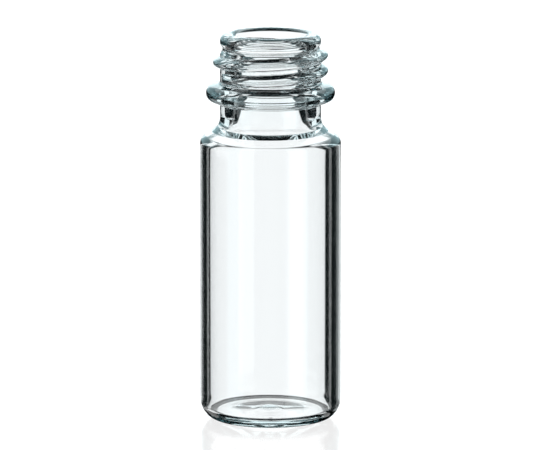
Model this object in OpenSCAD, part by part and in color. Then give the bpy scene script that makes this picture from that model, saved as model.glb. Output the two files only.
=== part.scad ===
// Glass sample vial with a screw neck, drawn and moulded as one piece of glass.
// It stands on its base with the axis along Z. The origin is the centre of the
// base, on the surface that the vial stands on. All sizes are in millimetres.

/* [Body] */
// Height, from the surface the vial stands on to the top of its rim
height = 32; // [26:0.5:45]
// Outer diameter of the body
body_d = 11.6; // [9.6:0.1:16]
// Thickness of the body's wall
wall = 0.65; // [0.5:0.05:1.2]

/* [Base] */
// Thickness of the floor where it meets the wall
floor_t = 0.85; // [0.7:0.05:1.5]
// Outer rounding where the wall turns into the base
base_round = 1.6; // [0.6:0.1:2]
// Inner rounding where the wall meets the floor
floor_round = 0.5; // [0.3:0.05:1.2]
// Depth of the hollow under the base, which leaves a ring to stand on
punt_depth = 0.3; // [0.1:0.05:0.4]
// Width of the ring that the vial stands on, around that hollow
ring_w = 0.8; // [0.3:0.1:1.5]
// Height of the small rise in the middle of the floor
floor_dome = 0.25; // [0.05:0.05:0.5]
// Radius of that rise
floor_dome_r = 1.3; // [0.8:0.1:2.2]

/* [Shoulder] */
// Length of the plain neck between the collar and the shoulder
neck_below = 1.0; // [0.3:0.1:4]
// Rounding between the neck and the shoulder
shoulder_hollow = 1.2; // [0.6:0.1:2]
// Rounding between the shoulder and the body
shoulder_round = 0.75; // [0.5:0.05:1.5]
// Fall of the shoulder below the horizontal, in degrees
shoulder_slope = 36; // [20:1:50]
// Thickness of the glass under that fall
shoulder_wall = 0.6; // [0.4:0.05:0.9]

/* [Neck] */
// Diameter of the opening
bore_d = 6.0; // [4.5:0.1:6.4]
// Radius of the wide flare by which the bore opens into the body
bore_flare = 3.4; // [2:0.1:5]
// Outer diameter of the neck, at the root of the thread
neck_d = 8.3; // [7.8:0.1:8.8]
// Rounding of the rim's outer edge
rim_round = 0.65; // [0.4:0.05:0.7]
// Depth of the groove under the rim
groove_depth = 0.2; // [0.05:0.05:0.3]
// Diameter of the collar below the thread
collar_d = 10.6; // [9.4:0.1:11.4]
// Height of the thread's lower end above the middle of the collar
collar_gap = 1.25; // [1.2:0.05:2]

/* [Thread] */
// Height of the thread's ridge above the neck
thread_rise = 0.575; // [0.3:0.025:0.8]
// Distance from the top of the rim down to the thread's upper end
thread_drop = 1.115; // [1.1:0.005:1.6]
// Rise of the thread in one turn
thread_pitch = 1.3; // [1.1:0.05:1.4]
// Number of turns, with the ends that fade out
thread_turns = 1.95; // [1:0.05:2.5]
// Width of the ridge at its root
thread_w = 0.95; // [0.7:0.05:1.1]

/* [Hidden] */

body_r = body_d / 2;
inner_r = body_r - wall;
neck_r = neck_d / 2;
bore_r = bore_d / 2;
collar_r = collar_d / 2;
punt_r = body_r - base_round - ring_w;

// Roundings of the collar where it leaves the neck and at its outside
collar_hollow = 0.25;
collar_round = 0.7;
collar_slope = 10;

// The thread hangs from the rim, the collar from the thread, and the foot of the
// neck from the collar
thread_z = height - thread_drop - thread_pitch * thread_turns;
collar_z = thread_z - collar_gap;
neck_z = collar_z - bend_drop(neck_r, collar_r, collar_hollow, collar_round, collar_slope) - neck_below;

// The rim is rounded to both sides of a narrow level land, as far as its wall
// allows. Its outer rounding turns under by this angle, in degrees, into the groove.
rim_land = 0.05;
rim_under = 60;
rim_r = min(rim_round, neck_r - bore_r - rim_land - 0.1);
lip_round = neck_r - bore_r - rim_r - rim_land;

// The groove under the rim is deepest at this height and fades out below it
groove_z = height - 1.25;
groove_fade = 0.55;

// Inside, the bore flares out to a flatter step, and from the step the shoulder falls
// to the wall. The step is this wide and ends this far in from the wall, and both
// shrink together where the flare would have less than its least run.
step_slope = shoulder_slope - 16;
step_w = 0.75;
step_in = 0.58;
flare_run = 0.3;
// Roundings at the end of the flare, at the step's outer edge and at the wall
flare_round = 0.1;
step_round = 0.05;
inner_round = 0.2;

// The threaded stretch of the neck is a sleeve from inside the collar to inside the rim
sleeve_low = collar_z + 0.45;
sleeve_high = height - 0.8;
// Under the sleeve the turned neck is thinner, and the collar starts a little inside
// the sleeve, so that the surfaces cross and never graze
hidden_r = neck_r - max(rim_r * (1 - cos(rim_under)), groove_depth + 0.12);
collar_start_r = neck_r - 0.1;
// The thread fades out over this angle at each end, in degrees
thread_fade = 60;
// Angle of the thread's lower end
thread_start = -165;
// Facets around the sleeve and rings up it
sleeve_facets = 64;
sleeve_rings = 22;

arc_steps = 10;
flare_steps = 16;
$fn = 128;

// Points of an arc about centre, between two angles in degrees
function arc(centre, r, from, to, steps = arc_steps) =
    [for (i = [0 : steps]) let (a = from + (to - from) * i / steps)
        centre + r * [cos(a), sin(a)]];

// An S-shaped outline that leaves a vertical wall of radius r_a at height z_a,
// runs outwards and down at the given slope, and ends in a vertical wall of
// radius r_b. The two roundings shrink together where there isn't room for them.
function bend_scale(r_a, r_b, round_a, round_b, slope) =
    min(1, (r_b - r_a) / ((round_a + round_b) * (1 - sin(slope)) + 0.02));
function bend_drop(r_a, r_b, round_a, round_b, slope) =
    let (s = (round_a + round_b) * bend_scale(r_a, r_b, round_a, round_b, slope))
    s * cos(slope) + (r_b - r_a - s * (1 - sin(slope))) * tan(slope);
function bend(r_a, r_b, z_a, round_a, round_b, slope) =
    let (k = bend_scale(r_a, r_b, round_a, round_b, slope),
         z_b = z_a - bend_drop(r_a, r_b, round_a, round_b, slope))
    concat(arc([r_a + k * round_a, z_a], k * round_a, 180, 270 - slope),
           arc([r_b - k * round_b, z_b], k * round_b, 90 - slope, 0));

// A corner p between a and b, rounded as far as its two sides allow
function corner(a, p, b, r) =
    let (u = (a - p) / norm(a - p), v = (b - p) / norm(b - p), half = acos(u * v) / 2,
         t = min(r / tan(half), 0.8 * norm(a - p), 0.8 * norm(b - p)), q = t * tan(half),
         centre = p + (u + v) / norm(u + v) * q / sin(half), turn = 180 - 2 * half,
         from = p + t * u - centre, to = p + t * v - centre)
    [for (i = [0 : arc_steps]) let (w = i / arc_steps)
        centre + (sin((1 - w) * turn) * from + sin(w * turn) * to) / sin(turn)];

// An outline with its inner corners rounded, each by its own radius
function rounded(points, radii) = [for (i = [0 : len(points) - 1])
    each i == 0 || i == len(points) - 1 ? [points[i]]
        : corner(points[i - 1], points[i], points[i + 1], radii[i])];

// The same points in the opposite order
function backwards(points) = [for (i = [len(points) - 1 : -1 : 0]) points[i]];
// The same outline turned upside down about a height, still read downwards
function flipped(points, z) = backwards([for (p = points) [p.x, 2 * z - p.y]]);

// A gentle rise to the middle: height h at the axis, and level at radius r
function dome(r, h, z) =
    [for (i = [0 : arc_steps]) [r * i / arc_steps, z + h * (1 + cos(180 * i / arc_steps)) / 2]];

// Outside of the vial without its threaded sleeve, from the rim down to the standing ring
function outside() =
    let (collar_half = bend_drop(collar_start_r, collar_r, collar_hollow, collar_round, collar_slope),
         collar_top = bend(collar_start_r, collar_r, collar_z + collar_half,
                           collar_hollow, collar_round, collar_slope),
         collar_half_low = bend_drop(neck_r, collar_r, collar_hollow, collar_round, collar_slope),
         collar_low = bend(neck_r, collar_r, collar_z + collar_half_low,
                           collar_hollow, collar_round, collar_slope))
    concat(
        arc([neck_r - rim_r, height - rim_r], rim_r, 90, -rim_under),
        [[hidden_r, collar_z + collar_half]],
        collar_top,
        flipped(collar_low, collar_z),
        bend(neck_r, body_r, neck_z, shoulder_hollow, shoulder_round, shoulder_slope),
        arc([body_r - base_round, base_round], base_round, 0, -90));

// Where the shoulder's even fall starts outside
function slope_start() =
    let (r = bend_scale(neck_r, body_r, shoulder_hollow, shoulder_round, shoulder_slope) * shoulder_hollow)
    [neck_r + r * (1 - sin(shoulder_slope)), neck_z - r * cos(shoulder_slope)];

// Inside of the shoulder, from the bore down to the wall. The step starts the
// shoulder's thickness under the fall outside. A flare that would turn further than
// the fall ends there, and a straight stretch goes on to the step.
function inside_shoulder() =
    let (shrink = min(1, (inner_r - bore_r - flare_run) / (step_w + step_in)),
         step_r = inner_r - shrink * (step_w + step_in),
         step_z = slope_start().y - (step_r - slope_start().x) * tan(shoulder_slope)
                  - shoulder_wall / cos(shoulder_slope),
         step_end = step_z - shrink * step_w * tan(step_slope),
         wall_top = step_end - shrink * step_in * tan(shoulder_slope),
         turn = min(90 - shoulder_slope, acos(1 - min(1, (step_r - bore_r) / bore_flare))),
         straight = step_r - bore_r - bore_flare * (1 - cos(turn)),
         bore_z = step_z + straight * tan(shoulder_slope) + bore_flare * sin(turn),
         flare = arc([bore_r + bore_flare, bore_z], bore_flare, 180, 180 + turn, flare_steps),
         last = straight > 0.01 ? flare_steps : flare_steps - 1)
    concat(
        [for (i = [0 : last - 1]) flare[i]],
        rounded([flare[last], [step_r, step_z], [step_r + shrink * step_w, step_end],
                 [inner_r, wall_top], [inner_r, wall_top - 1]],
                [0, flare_round, step_round, inner_round, 0]));

// Inside of the vial, from above the rim down to the floor
function inside() =
    concat(
        [[bore_r + lip_round, height + 1]],
        arc([bore_r + lip_round, height - lip_round], lip_round, 90, 180),
        inside_shoulder(),
        arc([inner_r - floor_round, floor_t + floor_round], floor_round, 0, -90));

// The outside as a solid, with the hollow under its base
module turned_glass()
    rotate_extrude()
        polygon(concat([[0, height]], outside(), backwards(dome(punt_r, punt_depth, 0))));

// The space inside, open at the top
module hollow()
    rotate_extrude()
        polygon(concat([[0, height + 1]], inside(),
                       backwards(dome(floor_dome_r, floor_dome, floor_t))));

// How much of its full height the ridge has at angle a from the lower end
function ridge_share(a) =
    let (left = min(a, 360 * thread_turns - a) / thread_fade)
    left <= 0 ? 0 : left >= 1 ? 1 : sin(90 * left);

// Height of the ridge above the neck at angle a from its lower end and at height z,
// where the ridge has a rounded crest
function ridge(a, z) =
    let (off = (z - thread_z - thread_pitch * a / 360) / thread_w)
    abs(off) >= 0.5 ? 0 : ridge_share(a) * thread_rise * pow(cos(180 * off), 0.65);

// Depth of the groove under the rim at height z
function groove(z) =
    groove_depth * pow(cos(90 * max(0, min(1, (groove_z - z) / groove_fade))), 2);

// Radius of the threaded neck at angle a from the thread's lower end and at height z.
// The ridge passes the same place again after each whole turn.
function threaded_r(a, z) =
    neck_r - groove(z) + max([for (turn = [0 : ceil(thread_turns)]) ridge(a + 360 * turn, z)]);

// The threaded stretch of the neck, with a right-handed thread of one start
module threaded_sleeve() {
    points = [for (i = [0 : sleeve_rings])
        let (z = sleeve_low + (sleeve_high - sleeve_low) * i / sleeve_rings)
        for (j = [0 : sleeve_facets - 1]) let (a = 360 * j / sleeve_facets, r = threaded_r(a, z))
            [r * cos(thread_start + a), r * sin(thread_start + a), z]];
    sides = [for (i = [0 : sleeve_rings - 1], j = [0 : sleeve_facets - 1])
        let (k = (j + 1) % sleeve_facets, low = i * sleeve_facets, high = low + sleeve_facets)
        [low + j, high + j, high + k, low + k]];
    bottom = [for (j = [0 : sleeve_facets - 1]) j];
    top = [for (j = [sleeve_facets - 1 : -1 : 0]) sleeve_rings * sleeve_facets + j];
    polyhedron(points, concat(sides, [bottom, top]), convexity = 8);
}

module vial()
    color([0.85, 0.92, 0.93, 0.5])
        difference() {
            union() {
                turned_glass();
                threaded_sleeve();
            }
            hollow();
        }

vial();
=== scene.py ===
"""Glass sample vial with a screw neck, standing on a glossy white table.

The vial is one piece of clear glass. Its half section is worked out from the
driving sizes below, turned about the axis by a geometry node tree that also
raises the thread, and finished with a clear glass. Lengths are in metres and
angles in degrees.
"""

import math

import bpy
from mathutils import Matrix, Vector


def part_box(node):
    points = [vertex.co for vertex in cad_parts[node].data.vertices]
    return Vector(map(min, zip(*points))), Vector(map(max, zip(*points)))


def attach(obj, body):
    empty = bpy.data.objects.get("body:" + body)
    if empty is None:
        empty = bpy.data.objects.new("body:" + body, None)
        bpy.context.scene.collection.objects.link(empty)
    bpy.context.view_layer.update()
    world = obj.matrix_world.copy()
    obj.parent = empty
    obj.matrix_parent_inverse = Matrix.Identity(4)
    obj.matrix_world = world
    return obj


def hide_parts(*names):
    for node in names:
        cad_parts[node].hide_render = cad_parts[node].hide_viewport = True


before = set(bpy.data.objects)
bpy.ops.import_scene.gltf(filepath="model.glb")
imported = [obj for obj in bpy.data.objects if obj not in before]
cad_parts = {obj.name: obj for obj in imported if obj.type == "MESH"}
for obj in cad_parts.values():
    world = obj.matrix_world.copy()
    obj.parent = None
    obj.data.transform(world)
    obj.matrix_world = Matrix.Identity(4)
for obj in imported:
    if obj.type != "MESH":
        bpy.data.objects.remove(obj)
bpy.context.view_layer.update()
_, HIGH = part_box("vial")

MM = 0.001

# Sizes of the body
HEIGHT = HIGH.z
BODY_R = HIGH.x
WALL = 0.65 * MM
INNER_R = BODY_R - WALL
BASE_ROUND = 1.6 * MM
FLOOR_Z = 0.85 * MM
FLOOR_ROUND = 0.5 * MM

# The floor rises a little in the middle, and the base is hollow below
FLOOR_DOME = 0.25 * MM
FLOOR_DOME_R = 1.3 * MM
PUNT_R = 3.4 * MM
PUNT_DEPTH = 0.3 * MM

# Sizes of the neck. The rim rounds over and under to a groove above the thread.
NECK_R = 4.15 * MM
BORE_R = 3.0 * MM
NECK_Z = HEIGHT - 6.9 * MM
RIM_ROUND = 0.65 * MM
RIM_LAND = 0.05 * MM
RIM_UNDER = 46
GROOVE_DEPTH = 0.2 * MM
GROOVE_Z = HEIGHT - 1.25 * MM
GROOVE_FADE = 0.55 * MM

# The collar below the thread: its edge, the middle of its height, the slope of its
# faces and the roundings where it leaves the neck and at its edge
COLLAR_R = 5.3 * MM
COLLAR_Z = HEIGHT - 4.9 * MM
COLLAR_SLOPE = 10
COLLAR_FOOT = 0.25 * MM
COLLAR_ROUND = 0.7 * MM

# The shoulder. Inside, the bore flares out to a flatter step, and from the step
# the shoulder falls to the wall, its thickness under the fall outside. The last
# rounding may use the straight stretch of wall below it.
SHOULDER_HOLLOW = 1.2 * MM
SHOULDER_ROUND = 0.75 * MM
SHOULDER_SLOPE = 36
SHOULDER_WALL = 0.6 * MM
BORE_FLARE = 3.4 * MM
STEP_SLOPE = 20
STEP_WIDTH = 0.75 * MM
STEP_IN = 0.58 * MM
FLARE_ROUND = 0.1 * MM
STEP_ROUND = 0.05 * MM
INNER_ROUND = 0.2 * MM
INNER_STRAIGHT = 1 * MM

# Sizes of the thread: one start, right-handed, fading in and out over an angle.
# The crest is a cosine raised to a power under 1, which fills its flanks.
THREAD_RISE = 0.575 * MM
THREAD_PITCH = 1.3 * MM
THREAD_TURNS = 1.95
THREAD_WIDTH = 0.95 * MM
THREAD_Z = HEIGHT - 3.65 * MM
THREAD_START = -165
THREAD_FADE = 60
THREAD_CREST = 0.65

# The thread is looked for in this many laps, only on the neck's own surface, and it
# stops this far from the collar's middle and the top, over this softness
THREAD_LAPS = 3
THREAD_ROOM = 0.8 * MM
THREAD_ENDS = 0.1 * MM
NECK_SLACK = 0.05 * MM

# The inside of the body stands this far off the centre, towards -X, and comes back
# to the centre over this height below the neck
OFF_CENTRE = 0.07 * MM
OFF_CENTRE_FADE = 2.5 * MM

# A rounding takes at most this share of either side of its corner
CORNER_SHARE = 0.8

# Steps around the vial, and along each stretch of its half section
AROUND = 272
STEPS = {
    "rim": 26, "groove": 12, "neck": 44, "collar_foot": 8, "collar_edge": 16, "neck_foot": 6,
    "shoulder_hollow": 16, "shoulder_round": 12, "wall": 12, "heel": 18, "punt": 14,
    "lip": 14, "bore": 10, "flare": 24, "flare_end": 8, "step": 8, "inner_corner": 12,
    "inner_wall": 12, "floor_corner": 12, "floor": 14,
}

# Points closer than this are joined, and a count is rounded down with this to spare
JOIN = 0.0001 * MM
COUNT_SLACK = 0.0001

# Clear glass: its tint, and the faint lengthwise waves of drawn tube
GLASS_COLOUR = (0.99, 0.995, 0.998, 1.0)
GLASS_IOR = 1.5
TINT_COLOUR = (0.5, 0.87, 0.93, 1.0)
TINT_DENSITY = 50.0
WAVE_STRETCH = (1.0, 1.0, 0.025)
WAVE_SCALE = 900.0
WAVE_DETAIL = 2.0
WAVE_ROUGHNESS = 0.5
WAVE_STRENGTH = 0.1
WAVE_HEIGHT = 0.01 * MM

# White table: how much of it glows evenly, how brightly, and how much of it mirrors
WHITE = (1.0, 1.0, 1.0, 1.0)
TABLE_HALF = 1.0
TABLE_COLOUR = (0.9, 0.9, 0.9, 1.0)
TABLE_EVEN = 0.9
TABLE_GLOW = 1.165
TABLE_MIRROR = 0.22
TABLE_ROUGHNESS = 0.12

# Radii and softness of a painted contact shadow: a black ring on the table that the glass sees where
# the heel meets the table
SHADOW_RING_IN = 4.45 * MM
SHADOW_RING_OUT = 5.45 * MM
SHADOW_RING_SOFT = 0.1 * MM

# The lit wall behind the vial. In the room, azimuths are 0 straight behind the vial and
# grow to the right. A foot or a top is the two rises between which an edge fades.
BACK_SIDES = (-15, 13.5)
BACK_SOFT = 1.5
BACK_FOOT = (-31, -26)
BACK_TOP = (28, 38)
BACK_LEVEL = 1.12

# Panels seen through the glass: the azimuths and the rises they lie between, and how
# softly they end above and below. Each of SIDE_PANELS stands on the left and the right.
# PANELS are only where the views 45,25, 225,15 and 90,3 look through the glass, so it is
# dark from most other sides.
SIDE_PANELS = (((18, 60), (-40, -31), 1), ((18, 60), (28, 60), 2))
PANELS = (((-58, -32), (-31, -19), 1), ((121, 149), (-31, 25), 1), ((-104, -76), (-7, 28), 1))
PANEL_SOFT = 3

# Soft boxes that only the surface mirrors: two tall ones to the left and right in front
# of the vial, a wide one behind it that reaches as far to both sides, and the ceiling
TALL_BOXES = ((-129, -109), (121, 143))
TALL_SOFT = 8
TALL_LEVEL = 1.3
WIDE_BOX = (-1, 70)
WIDE_SOFT = 10
WIDE_FOOT = (-2, 5)
WIDE_LEVEL = 1.3
CEILING_FOOT = (0, 8)
CEILING_LEVEL = 0.1
BOX_COLOUR = (0.65, 0.97, 1.04, 1.0)

# The dark parts of the room keep this much of the boxes' colour
DARK_LEVEL = 0.0055

# The camera looks down by its rise at the point it aims for. Its lens and the width
# of its sensor are in millimetres.
CAMERA_DISTANCE = 0.45
CAMERA_RISE = 10
AIM = (-0.04 * MM, 0, 16.1 * MM)
LENS = 365.4
SENSOR = 36
NEAR, FAR = 0.01, 10

# How often light may cross or leave a surface
CROSSINGS = 32
MIRRORINGS = 16


# ---------------------------------------------------------------- node trees

class Wire:
    """A node's output. Arithmetic on it adds maths nodes to the same tree."""

    def __init__(self, graph, socket):
        self.graph = graph
        self.socket = socket

    def math(self, operation, *others):
        inputs = dict(enumerate((self,) + others))
        return self.graph.add("ShaderNodeMath", {"operation": operation}, inputs)

    def __add__(self, other):
        return self.math("ADD", other)

    def __sub__(self, other):
        return self.math("SUBTRACT", other)

    def __rsub__(self, other):
        return self.graph.add("ShaderNodeMath", {"operation": "SUBTRACT"}, {0: other, 1: self})

    def __mul__(self, other):
        return self.math("MULTIPLY", other)

    def __truediv__(self, other):
        return self.math("DIVIDE", other)

    def __pow__(self, other):
        return self.math("POWER", other)

    __rmul__ = __mul__

    def clamp(self):
        return self.math("MAXIMUM", 0.0).math("MINIMUM", 1.0)

    def ramp(self, low, high):
        """0 below low and 1 above high."""
        return ((self - low) / (high - low)).clamp()

    def between(self, low, high, soft):
        """1 between low and high, fading to 0 over soft outside them."""
        return self.ramp(low - soft, low) * (1 - self.ramp(high, high + soft))


class Graph:
    """Adds nodes to one tree."""

    def __init__(self, tree):
        self.tree = tree

    def add(self, kind, settings=None, inputs=None, output=0):
        """Adds a node with its settings and inputs, and returns one of its outputs."""
        node = self.tree.nodes.new(kind)
        for name, value in (settings or {}).items():
            setattr(node, name, value)
        for key, value in (inputs or {}).items():
            if isinstance(value, Wire):
                self.tree.links.new(value.socket, node.inputs[key])
            else:
                node.inputs[key].default_value = value
        return Wire(self, node.outputs[output]) if node.outputs else None

    def split(self, vector):
        """The three parts of a vector."""
        parts = self.add("ShaderNodeSeparateXYZ", inputs={0: vector})
        return [Wire(self, part) for part in parts.socket.node.outputs]


# ---------------------------------------------------------------- half section

def arc(centre_r, centre_z, radius, start, end, steps):
    """Points of an arc in the half section, between two angles in degrees."""
    points = []
    for i in range(steps + 1):
        a = math.radians(start + (end - start) * i / steps)
        points.append((centre_r + radius * math.cos(a), centre_z + radius * math.sin(a)))
    return points


def line(start, end, steps):
    """Points between two points, without the two themselves."""
    return [tuple(a + (b - a) * i / steps for a, b in zip(start, end)) for i in range(1, steps)]


def bend(r_a, r_b, z_a, round_a, round_b, slope, steps_a, steps_b):
    """An S that leaves a vertical wall at r_a, runs out and down, and ends vertical at r_b."""
    s = math.radians(slope)
    run = r_b - r_a - (round_a + round_b) * (1 - math.sin(s))
    z_b = z_a - (round_a + round_b) * math.cos(s) - run * math.tan(s)
    return (arc(r_a + round_a, z_a, round_a, 180, 270 - slope, steps_a)
            + arc(r_b - round_b, z_b, round_b, 90 - slope, 0, steps_b))


def corner(a, p, b, radius, steps):
    """A corner p between a and b, rounded. A short side limits the rounding."""
    a, p, b = Vector(a), Vector(p), Vector(b)
    u, v = (a - p).normalized(), (b - p).normalized()
    half = u.angle(v) / 2
    room = CORNER_SHARE * min((a - p).length, (b - p).length)
    reach = min(radius / math.tan(half), room)
    radius = reach * math.tan(half)
    centre = p + (u + v).normalized() * radius / math.sin(half)
    start, end, turn = p + reach * u - centre, p + reach * v - centre, math.pi - 2 * half
    points = []
    for i in range(steps + 1):
        w = i / steps
        spoke = (math.sin((1 - w) * turn) * start + math.sin(w * turn) * end) / math.sin(turn)
        points.append(tuple(centre + spoke))
    return points


def dome(radius, rise, z, steps):
    """A gentle rise to the axis, from the given radius inwards."""
    return [(radius * i / steps, z + rise * (1 + math.cos(math.pi * i / steps)) / 2)
            for i in range(steps, -1, -1)]


def collar():
    """The collar below the thread, read downwards."""
    upper = bend(NECK_R, COLLAR_R, 0, COLLAR_FOOT, COLLAR_ROUND, COLLAR_SLOPE,
                 STEPS["collar_foot"], STEPS["collar_edge"])
    drop = -upper[-1][1]
    upper = [(r, COLLAR_Z + drop + z) for r, z in upper]
    lower = [(r, 2 * COLLAR_Z - z) for r, z in reversed(upper)]
    return upper + lower[1:]


def rim_outside():
    """The rim's outer rounding and the groove under it, read downwards."""
    top = arc(NECK_R - RIM_ROUND, HEIGHT - RIM_ROUND, RIM_ROUND, 90, -RIM_UNDER, STEPS["rim"])
    groove = []
    for i in range(1, STEPS["groove"] + 1):
        share = i / STEPS["groove"]
        groove.append((NECK_R - GROOVE_DEPTH * math.cos(math.pi / 2 * share) ** 2,
                       GROOVE_Z - GROOVE_FADE * share))
    return top + groove


def outside():
    """From the middle of the base out and up to the rim's land."""
    rim = rim_outside()
    ring = collar()
    shoulder = bend(NECK_R, BODY_R, NECK_Z, SHOULDER_HOLLOW, SHOULDER_ROUND, SHOULDER_SLOPE,
                    STEPS["shoulder_hollow"], STEPS["shoulder_round"])
    heel = arc(BODY_R - BASE_ROUND, BASE_ROUND, BASE_ROUND, 0, -90, STEPS["heel"])
    down = (rim + line(rim[-1], ring[0], STEPS["neck"])
            + ring + line(ring[-1], shoulder[0], STEPS["neck_foot"])
            + shoulder + line(shoulder[-1], heel[0], STEPS["wall"])
            + heel + dome(PUNT_R, PUNT_DEPTH, 0, STEPS["punt"]))
    return down[::-1]


def inside_shoulder():
    """Down the bore's wide flare, over the flatter step, to the wall."""
    slope = math.radians(SHOULDER_SLOPE)
    slope_r = NECK_R + SHOULDER_HOLLOW * (1 - math.sin(slope))
    slope_z = NECK_Z - SHOULDER_HOLLOW * math.cos(slope)
    step_r = INNER_R - STEP_IN - STEP_WIDTH
    step_z = slope_z - (step_r - slope_r) * math.tan(slope) - SHOULDER_WALL / math.cos(slope)
    step_end = step_z - STEP_WIDTH * math.tan(math.radians(STEP_SLOPE))
    wall_top = step_end - STEP_IN * math.tan(slope)
    turn = math.acos(1 - (step_r - BORE_R) / BORE_FLARE)
    bore_z = step_z + BORE_FLARE * math.sin(turn)
    flare = arc(BORE_R + BORE_FLARE, bore_z, BORE_FLARE, 180, 180 + math.degrees(turn),
                STEPS["flare"])
    spots = [flare[-2], flare[-1], (step_r + STEP_WIDTH, step_end),
             (INNER_R, wall_top), (INNER_R, wall_top - INNER_STRAIGHT)]
    corners = ((FLARE_ROUND, "flare_end"), (STEP_ROUND, "step"), (INNER_ROUND, "inner_corner"))
    points = flare[:-1]
    for i, (radius, name) in enumerate(corners):
        points += corner(*spots[i:i + 3], radius, STEPS[name])
    return points


def inside():
    """From the rim's land down the bore and the wall to the middle of the floor."""
    round_in = NECK_R - BORE_R - RIM_ROUND - RIM_LAND
    lip = arc(BORE_R + round_in, HEIGHT - round_in, round_in, 90, 180, STEPS["lip"])
    shoulder = inside_shoulder()
    foot = arc(INNER_R - FLOOR_ROUND, FLOOR_Z + FLOOR_ROUND, FLOOR_ROUND, 0, -90,
               STEPS["floor_corner"])
    return (lip + line(lip[-1], shoulder[0], STEPS["bore"])
            + shoulder + line(shoulder[-1], foot[0], STEPS["inner_wall"])
            + foot + dome(FLOOR_DOME_R, FLOOR_DOME, FLOOR_Z, STEPS["floor"]))


# ---------------------------------------------------------------- the vial

def thread_height(graph, angle, height, sizes):
    """How far the ridge stands out of the neck at an angle and a height."""
    rise = None
    for lap in range(THREAD_LAPS):
        along = angle + 360.0 * lap
        left = along.math("MINIMUM", 360.0 * sizes["Turns"] - along) / THREAD_FADE
        share = (left.clamp() * (math.pi / 2)).math("SINE")
        off = (height - THREAD_Z - sizes["Pitch"] * along / 360.0) / sizes["Width"]
        crest = (off.math("ABSOLUTE").math("MINIMUM", 0.5) * math.pi).math("COSINE")
        ridge = sizes["Rise"] * share * crest.math("MAXIMUM", 0.0) ** THREAD_CREST
        rise = ridge if rise is None else rise.math("MAXIMUM", ridge)
    return rise


def turning_tree(rows, inside_from, glass):
    """Turns a half section about the axis and raises the thread on its neck.

    Each column of a flat grid is one copy of the half section, its rows the points of it.
    """
    tree = bpy.data.node_groups.new("turned_vial", "GeometryNodeTree")
    tree.interface.new_socket("Geometry", in_out="OUTPUT", socket_type="NodeSocketGeometry")
    tree.interface.new_socket("Half section", in_out="INPUT", socket_type="NodeSocketGeometry")
    for name in ("Rise", "Pitch", "Turns", "Width"):
        tree.interface.new_socket(name, in_out="INPUT", socket_type="NodeSocketFloat")
    graph = Graph(tree)
    start = tree.nodes.new("NodeGroupInput")
    given = {s.name: Wire(graph, s) for s in start.outputs if s.name}

    index = graph.add("GeometryNodeInputIndex")
    column = (index / float(rows) + COUNT_SLACK).math("FLOOR")
    row = index - column * float(rows)
    place = graph.add("GeometryNodeInputPosition")
    section = graph.add("GeometryNodeSampleIndex", {"data_type": "FLOAT_VECTOR", "domain": "POINT"},
                        {"Geometry": given["Half section"], "Value": place, "Index": row})
    radius, _, height = graph.split(section)

    degrees = column * (360.0 / AROUND)
    from_start = (degrees - float(THREAD_START)).math("MODULO", 360.0)
    on_neck = radius.between(NECK_R - GROOVE_DEPTH, NECK_R, NECK_SLACK)
    on_thread = on_neck * height.between(COLLAR_Z + THREAD_ROOM, HEIGHT - THREAD_ROOM, THREAD_ENDS)
    radius = radius + on_thread * thread_height(graph, from_start, height, given)
    turned = degrees * (math.pi / 180)
    below_neck = 1 - height.ramp(NECK_Z - OFF_CENTRE_FADE, NECK_Z)
    on_inside = (row - float(inside_from)).clamp() * below_neck
    spot = graph.add("ShaderNodeCombineXYZ", inputs={
        0: radius * turned.math("COSINE") - on_inside * OFF_CENTRE,
        1: radius * turned.math("SINE"), 2: height})

    grid = graph.add("GeometryNodeMeshGrid", inputs={
        "Size X": 1.0, "Size Y": 1.0, "Vertices X": AROUND + 1, "Vertices Y": rows})
    shell = graph.add("GeometryNodeSetPosition", inputs={"Geometry": grid, "Position": spot})
    closed = graph.add("GeometryNodeMergeByDistance", inputs={"Geometry": shell, "Distance": JOIN})
    smooth = graph.add("GeometryNodeSetShadeSmooth", inputs={"Geometry": closed})
    real = graph.add("GeometryNodeRealizeInstances", inputs={"Geometry": smooth})
    finished = graph.add("GeometryNodeSetMaterial", inputs={"Geometry": real, "Material": glass})
    end = tree.nodes.new("NodeGroupOutput")
    tree.links.new(finished.socket, end.inputs[0])
    return tree


def set_input(modifier, name, value):
    """Sets a tree's input by the identifier of its socket."""
    for item in modifier.node_group.interface.items_tree:
        if item.item_type == "SOCKET" and item.in_out == "INPUT" and item.name == name:
            modifier[item.identifier] = value


def make_vial(glass):
    """The whole vial as one mesh."""
    outer = outside()
    points = outer + inside()
    edges = [(i, i + 1) for i in range(len(points) - 1)]
    section = bpy.data.meshes.new("half_section")
    section.from_pydata([(r, 0, z) for r, z in points], edges, [])
    source = bpy.data.objects.new("half_section", section)
    bpy.context.scene.collection.objects.link(source)
    turning = source.modifiers.new("turned_vial", "NODES")
    turning.node_group = turning_tree(len(points), len(outer), glass)
    set_input(turning, "Rise", THREAD_RISE)
    set_input(turning, "Pitch", THREAD_PITCH)
    set_input(turning, "Turns", THREAD_TURNS)
    set_input(turning, "Width", THREAD_WIDTH)
    evaluated = source.evaluated_get(bpy.context.evaluated_depsgraph_get())
    mesh = bpy.data.meshes.new_from_object(evaluated)
    mesh.name = "glass_vial"
    vial = bpy.data.objects.new("glass_vial", mesh)
    bpy.context.scene.collection.objects.link(vial)
    bpy.data.objects.remove(source)
    return vial


# ---------------------------------------------------------------- finishes

def new_material(name):
    """An empty material and its graph."""
    material = bpy.data.materials.new(name)
    material.use_nodes = True
    material.node_tree.nodes.clear()
    return material, Graph(material.node_tree)


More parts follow.
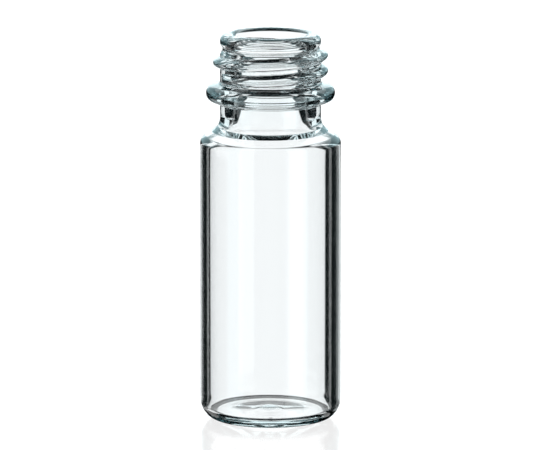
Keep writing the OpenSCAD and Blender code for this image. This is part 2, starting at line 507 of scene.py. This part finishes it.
def clear_glass():
    """Clear glass with the faint lengthwise waves of drawn tube."""
    material, graph = new_material("clear_glass")
    place = graph.add("ShaderNodeTexCoord", output="Object")
    stretched = graph.add("ShaderNodeMapping", inputs={"Vector": place, "Scale": WAVE_STRETCH})
    waves = graph.add("ShaderNodeTexNoise", inputs={
        "Vector": stretched, "Scale": WAVE_SCALE, "Detail": WAVE_DETAIL, "Roughness": WAVE_ROUGHNESS})
    bump = graph.add("ShaderNodeBump", inputs={
        "Strength": WAVE_STRENGTH, "Distance": WAVE_HEIGHT, "Height": waves})
    glass = graph.add("ShaderNodeBsdfPrincipled", inputs={
        "Base Color": GLASS_COLOUR, "Roughness": 0.0, "IOR": GLASS_IOR,
        "Transmission Weight": 1.0, "Normal": bump})
    tint = graph.add("ShaderNodeVolumeAbsorption", inputs={
        "Color": TINT_COLOUR, "Density": TINT_DENSITY})
    graph.add("ShaderNodeOutputMaterial", inputs={"Surface": glass, "Volume": tint})
    return material


def white_table():
    """Glossy white table that keeps a faint mirror image and a soft shadow.

    The glass looks through it to the room below, but for a painted contact shadow, a black ring under
    the heel.
    """
    material, graph = new_material("white_table")
    lit = graph.add("ShaderNodeBsdfDiffuse", inputs={"Color": TABLE_COLOUR})
    plain = graph.add("ShaderNodeEmission", inputs={"Color": WHITE, "Strength": TABLE_GLOW})
    mirror = graph.add("ShaderNodeBsdfGlossy", inputs={"Color": WHITE, "Roughness": TABLE_ROUGHNESS})
    clear = graph.add("ShaderNodeBsdfTransparent")
    base = graph.add("ShaderNodeMixShader", inputs={0: TABLE_EVEN, 1: lit, 2: plain})
    top = graph.add("ShaderNodeMixShader", inputs={0: TABLE_MIRROR, 1: base, 2: mirror})
    glossy = graph.add("ShaderNodeLightPath", output="Is Glossy Ray")
    x, y, _ = graph.split(graph.add("ShaderNodeTexCoord", output="Object"))
    # Painted contact shadow: a black ring under the heel, seen only by glossy rays, which the glass
    # mirrors or lets through
    ring = (x * x + y * y).math("SQRT").between(SHADOW_RING_IN, SHADOW_RING_OUT, SHADOW_RING_SOFT)
    painted_shadow = graph.add("ShaderNodeEmission", inputs={"Strength": 0.0})
    below = graph.add("ShaderNodeMixShader", inputs={0: ring, 1: clear, 2: painted_shadow})
    seen = graph.add("ShaderNodeMixShader", inputs={0: glossy, 1: top, 2: below})
    graph.add("ShaderNodeOutputMaterial", inputs={"Surface": seen})
    return material


# ---------------------------------------------------------------- studio

def make_table():
    """A square table top at the height of the vial's base."""
    half = TABLE_HALF
    corners = [(-half, -half, 0), (half, -half, 0), (half, half, 0), (-half, half, 0)]
    mesh = bpy.data.meshes.new("table")
    mesh.from_pydata(corners, [], [(0, 1, 2, 3)])
    mesh.materials.append(white_table())
    table = bpy.data.objects.new("table", mesh)
    bpy.context.scene.collection.objects.link(table)


def make_room():
    """White to the camera. The glass sees a white wall and a few panels in a dark room,
    and its surface mirrors soft boxes of a faint green-blue, not seen through it."""
    world = bpy.data.worlds.new("studio")
    bpy.context.scene.world = world
    world.use_nodes = True
    world.node_tree.nodes.clear()
    graph = Graph(world.node_tree)
    x, y, z = graph.split(graph.add("ShaderNodeTexCoord", output="Generated"))
    side = x.math("ARCTAN2", y) * (180 / math.pi)
    rise = z.math("ARCSINE") * (180 / math.pi)
    turn = side.math("ABSOLUTE")
    camera, glossy, sent = [graph.add("ShaderNodeLightPath", output=name)
                            for name in ("Is Camera Ray", "Is Glossy Ray", "Is Transmission Ray")]

    wall = side.between(*BACK_SIDES, BACK_SOFT) * rise.ramp(*BACK_FOOT) * BACK_LEVEL
    lit = wall * (1 - rise.ramp(*BACK_TOP))
    for across, panels in ((turn, SIDE_PANELS), (side, PANELS)):
        for sides, rises, soft in panels:
            panel = across.between(*sides, PANEL_SOFT) * rise.between(*rises, soft)
            lit = lit.math("MAXIMUM", panel)

    left, right = [side.between(*sides, TALL_SOFT) for sides in TALL_BOXES]
    boxes = left.math("MAXIMUM", right) * TALL_LEVEL
    boxes = boxes.math("MAXIMUM", rise.ramp(*CEILING_FOOT) * CEILING_LEVEL)
    wide = turn.between(*WIDE_BOX, WIDE_SOFT) * rise.ramp(*WIDE_FOOT) * WIDE_LEVEL
    mirrored = boxes.math("MAXIMUM", wide) * (glossy - sent)

    white = graph.add("ShaderNodeBackground", inputs={
        "Color": WHITE, "Strength": lit.math("MAXIMUM", camera)})
    soft_boxes = graph.add("ShaderNodeBackground", inputs={
        "Color": BOX_COLOUR, "Strength": mirrored + DARK_LEVEL})
    sky = graph.add("ShaderNodeAddShader", inputs={0: white, 1: soft_boxes})
    graph.add("ShaderNodeOutputWorld", inputs={"Surface": sky})


def make_camera():
    """A long lens, a little above the vial."""
    rise = math.radians(CAMERA_RISE)
    data = bpy.data.cameras.new("camera")
    data.sensor_width = SENSOR
    data.lens = LENS
    data.clip_start = NEAR
    data.clip_end = FAR
    camera = bpy.data.objects.new("camera", data)
    bpy.context.scene.collection.objects.link(camera)
    back = Vector((0, -math.cos(rise), math.sin(rise)))
    camera.location = Vector(AIM) + back * CAMERA_DISTANCE
    camera.rotation_euler = (-back).to_track_quat("-Z", "Y").to_euler()
    bpy.context.scene.camera = camera


def set_look():
    """Enough bounces for light to cross the glass many times."""
    scene = bpy.context.scene
    scene.view_settings.view_transform = "Standard"
    scene.cycles.max_bounces = CROSSINGS
    scene.cycles.transmission_bounces = CROSSINGS
    scene.cycles.glossy_bounces = MIRRORINGS
    scene.cycles.transparent_max_bounces = MIRRORINGS


def main():
    vial = make_vial(clear_glass())
    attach(vial, "root")
    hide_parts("vial")
    make_table()
    make_room()
    make_camera()
    set_look()


main()
